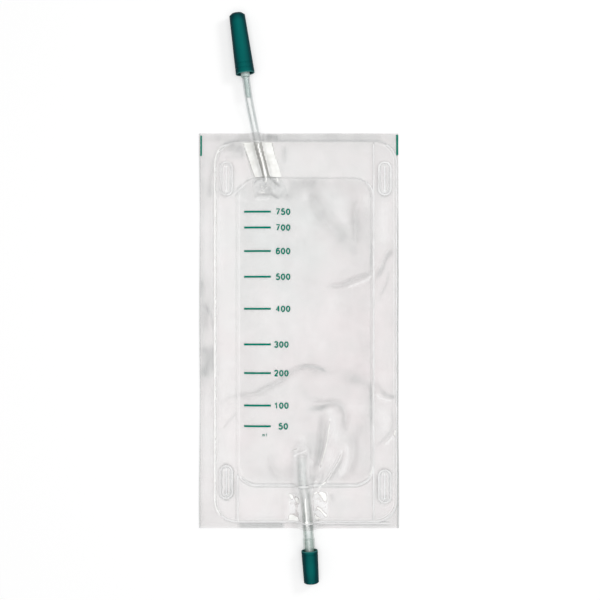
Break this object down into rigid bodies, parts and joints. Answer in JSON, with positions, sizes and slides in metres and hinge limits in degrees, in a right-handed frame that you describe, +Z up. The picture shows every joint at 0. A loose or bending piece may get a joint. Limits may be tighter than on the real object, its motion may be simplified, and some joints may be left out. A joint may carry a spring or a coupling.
{
  "type": "urine drainage bag",
  "caption": "Flat drainage bag of two welded clear films, with a narrow inlet hose and a wider outlet hose, each closed by a green push-on cap.",
  "frame": {"origin": "on the table under the middle of the bag and its outlet, the inlet hose and what is on it left out", "axes": "+Y to the top of the bag, where the inlet is, +X to the right of the printed side, +Z up through the bag's thickness"},
  "size_m": [0.16, 0.4553, 0.0153],
  "materials": {
    "clear_film": "clear soft vinyl film, glossy, slightly wrinkled, with green printed scale",
    "valve_film": "thin clear film, whitened where it is welded",
    "clear_hose": "clear soft vinyl hose, glossy",
    "pale_connector": "pale blue translucent moulded plastic",
    "green_cap": "dark blue-green moulded plastic, satin"
  },
  "bodies": {
    "bag": {"back_film": "clear_film", "front_film": "clear_film", "valve_back_flap": "valve_film", "valve_front_flap": "valve_film", "inlet_hose": "clear_hose", "inlet_connector": "pale_connector", "outlet_hose": "clear_hose", "outlet_connector": "pale_connector"},
    "long_cap": {"inlet_cap": "green_cap"},
    "short_cap": {"outlet_cap": "green_cap"}
  },
  "joints": [
    {"name": "inlet_cap_pull", "type": "slide", "parent": "bag", "child": "long_cap", "axis": [-0.1392, 0.9903, 0], "range_m": [0, 0.046]},
    {"name": "outlet_cap_pull", "type": "slide", "parent": "bag", "child": "short_cap", "axis": [0.061, -0.9981, 0], "range_m": [0, 0.022]}
  ]
}
